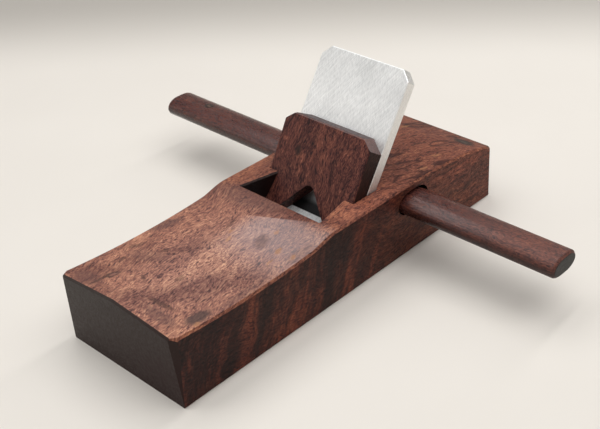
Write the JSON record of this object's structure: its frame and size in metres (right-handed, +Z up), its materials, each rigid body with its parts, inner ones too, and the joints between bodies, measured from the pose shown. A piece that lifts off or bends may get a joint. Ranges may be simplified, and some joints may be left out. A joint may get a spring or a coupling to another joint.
{
  "type": "wooden smoothing plane",
  "caption": "Low wooden hand plane with a twin-hollowed front, a thick wedged iron at a steep pitch and a loose cross handle through the body.",
  "frame": {"origin": "On the sole, on its middle line, straight under the middle of the mortise that holds the cross handle.", "axes": "+X along the plane from heel to toe, +Y to the plane's left side and along the cross handle, +Z up from the sole."},
  "size_m": [0.212, 0.259, 0.0871],
  "materials": {
    "body_wood": "oiled dense hardwood",
    "iron_steel": "fine brushed, dark band near the edge",
    "wedge_wood": "oiled dense hardwood",
    "handle_wood": "oiled dense hardwood"
  },
  "bodies": {
    "body": {"body": "body_wood"},
    "iron": {"iron": "iron_steel"},
    "wedge": {"wedge": "wedge_wood"},
    "cross_handle": {"cross_handle": "handle_wood"}
  },
  "joints": [
    {"name": "iron_slide", "type": "slide", "parent": "body", "child": "iron", "axis": [-0.5736, 0, 0.8192], "range_m": [-0.0008, 0.045]},
    {"name": "wedge_slide", "type": "slide", "parent": "body", "child": "wedge", "axis": [-0.5736, 0, 0.8192], "range_m": [0, 0.036]},
    {"name": "handle_slide", "type": "slide", "parent": "body", "child": "cross_handle", "axis": [0, 1, 0], "range_m": [-0.086, 0.098]}
  ]
}
